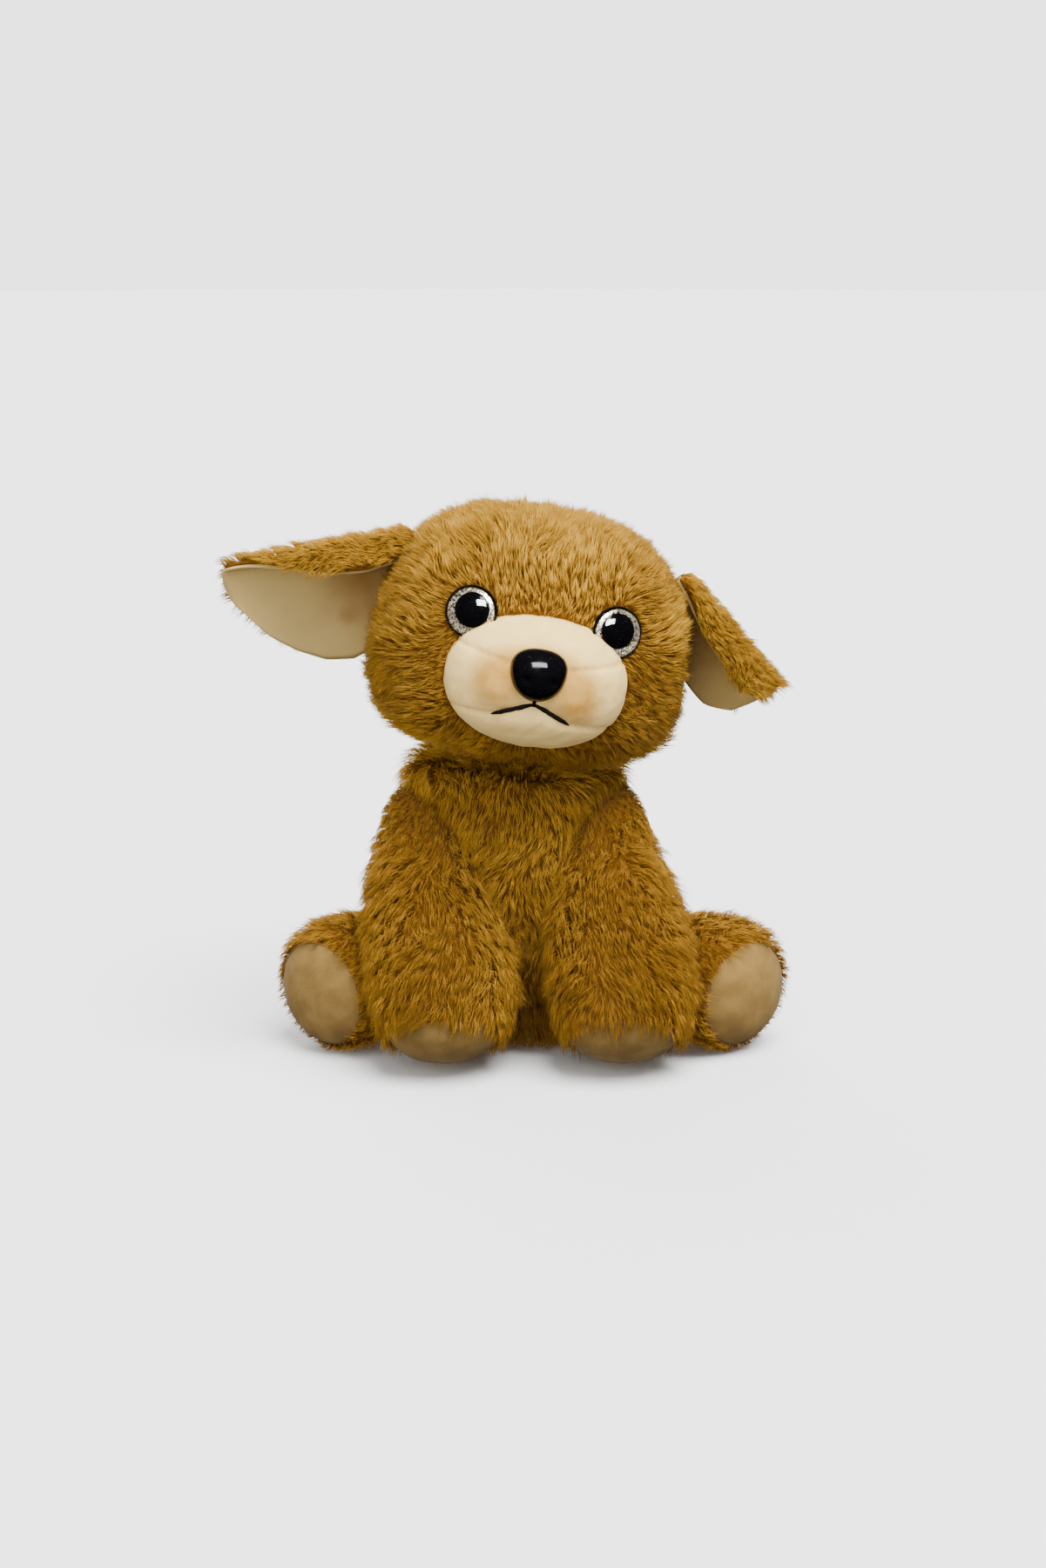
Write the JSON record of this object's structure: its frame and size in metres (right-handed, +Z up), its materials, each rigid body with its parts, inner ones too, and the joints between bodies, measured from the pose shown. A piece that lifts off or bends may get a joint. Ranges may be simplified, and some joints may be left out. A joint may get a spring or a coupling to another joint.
{
  "type": "plush toy dog",
  "caption": "Sitting plush dog of golden brown pile fabric with velour muzzle, ear linings and soles, glossy nose and glitter-ringed eyes.",
  "frame": {"origin": "centre of the flat seat the dog sits on", "axes": "+Z up, the dog faces -Y, its own left side is +X"},
  "size_m": [0.2399, 0.194, 0.2311],
  "materials": {
    "pile_fabric": "golden brown plush pile, 9 mm, combed",
    "velour": "cream short velour",
    "sole_velour": "beige brown short velour",
    "filling": "loose white polyester fibre",
    "pellet_bag": "woven bag filled with plastic pellets",
    "black_thread": "black embroidery thread",
    "seam_thread": "brown sewing thread",
    "black_moulding": "glossy black moulding",
    "glitter": "silver and gold glitter film",
    "clear_dome": "clear moulded dome",
    "washer": "plain moulded lock washer"
  },
  "bodies": {
    "torso": {"torso_seat_panel": "pile_fabric", "torso_belly_panel": "pile_fabric", "torso_left_panel": "pile_fabric", "torso_right_panel": "pile_fabric", "torso_filling": "filling", "pellet_bag": "pellet_bag"},
    "neck": {"neck_filling": "filling"},
    "neck_thread": {"neck_gathering_thread": "seam_thread"},
    "head": {"head_crown_panel": "pile_fabric", "head_left_panel": "pile_fabric", "head_right_panel": "pile_fabric", "head_filling": "filling", "muzzle_cover": "velour", "chin_cover": "velour", "muzzle_filling": "filling", "mouth_stitching": "black_thread", "nose_button": "black_moulding", "nose_washer": "washer", "left_eye_post": "black_moulding", "left_eye_glitter_disc": "glitter", "left_eye_pupil": "black_moulding", "left_eye_dome": "clear_dome", "left_eye_washer": "washer", "right_eye_post": "black_moulding", "right_eye_glitter_disc": "glitter", "right_eye_pupil": "black_moulding", "right_eye_dome": "clear_dome", "right_eye_washer": "washer"},
    "left_ear": {"left_ear_pile": "pile_fabric", "left_ear_lining": "velour"},
    "right_ear": {"right_ear_pile": "pile_fabric", "right_ear_lining": "velour"},
    "left_foreleg": {"left_foreleg_cover": "pile_fabric", "left_foreleg_filling": "filling", "left_foreleg_sole": "sole_velour"},
    "right_foreleg": {"right_foreleg_cover": "pile_fabric", "right_foreleg_filling": "filling", "right_foreleg_sole": "sole_velour"},
    "left_hindleg": {"left_hindleg_cover": "pile_fabric", "left_hindleg_filling": "filling", "left_hindleg_sole": "sole_velour"},
    "right_hindleg": {"right_hindleg_cover": "pile_fabric", "right_hindleg_filling": "filling", "right_hindleg_sole": "sole_velour"},
    "tail": {"tail_cover": "pile_fabric", "tail_filling": "filling"}
  },
  "joints": [
    {"name": "head_turn", "type": "hinge", "parent": "torso", "child": "neck", "pos_m": [-0.006, -0.03, 0.139], "axis": [0.1561, 0.0109, 0.9877], "range_deg": [-20, 20], "stiffness_Nm_per_rad": 0.8},
    {"name": "head_tilt", "type": "hinge", "parent": "neck", "child": "neck_thread", "pos_m": [-0.006, -0.03, 0.139], "axis": [-0.0698, 0.9976, 0], "range_deg": [-10, 10], "stiffness_Nm_per_rad": 0.8},
    {"name": "head_nod", "type": "hinge", "parent": "neck_thread", "child": "head", "pos_m": [-0.006, -0.03, 0.139], "axis": [0.9853, 0.0689, -0.1564], "range_deg": [-10, 10], "stiffness_Nm_per_rad": 0.8},
    {"name": "left_ear_flap", "type": "hinge", "parent": "head", "child": "left_ear", "pos_m": [0.05921, -0.02544, 0.18737], "axis": [-0.1479, -0.0103, 0.9889], "range_deg": [-25, 25], "stiffness_Nm_per_rad": 0.03},
    {"name": "right_ear_flap", "type": "hinge", "parent": "head", "child": "right_ear", "pos_m": [-0.059, -0.03371, 0.2031], "axis": [0.397, 0.0278, 0.9174], "range_deg": [-25, 25], "stiffness_Nm_per_rad": 0.03},
    {"name": "left_foreleg_swing", "type": "hinge", "parent": "torso", "child": "left_foreleg", "pos_m": [0.0375, -0.033, 0.1], "axis": [-1, 0, 0], "range_deg": [0, 40], "stiffness_Nm_per_rad": 0.25},
    {"name": "right_foreleg_swing", "type": "hinge", "parent": "torso", "child": "right_foreleg", "pos_m": [-0.0375, -0.033, 0.1], "axis": [-1, 0, 0], "range_deg": [0, 40], "stiffness_Nm_per_rad": 0.25},
    {"name": "left_hindleg_lift", "type": "hinge", "parent": "torso", "child": "left_hindleg", "pos_m": [0.044, 0.008, 0.028], "axis": [-0.6236, -0.5312, 0.5735], "range_deg": [0, 30], "stiffness_Nm_per_rad": 0.25},
    {"name": "right_hindleg_lift", "type": "hinge", "parent": "torso", "child": "right_hindleg", "pos_m": [-0.044, 0.008, 0.028], "axis": [-0.6236, 0.5312, -0.5735], "range_deg": [0, 30], "stiffness_Nm_per_rad": 0.25},
    {"name": "tail_wag", "type": "hinge", "parent": "torso", "child": "tail", "pos_m": [0, 0.037, 0.027], "axis": [1, 0, 0], "range_deg": [-20, 30], "stiffness_Nm_per_rad": 0.03}
  ]
}
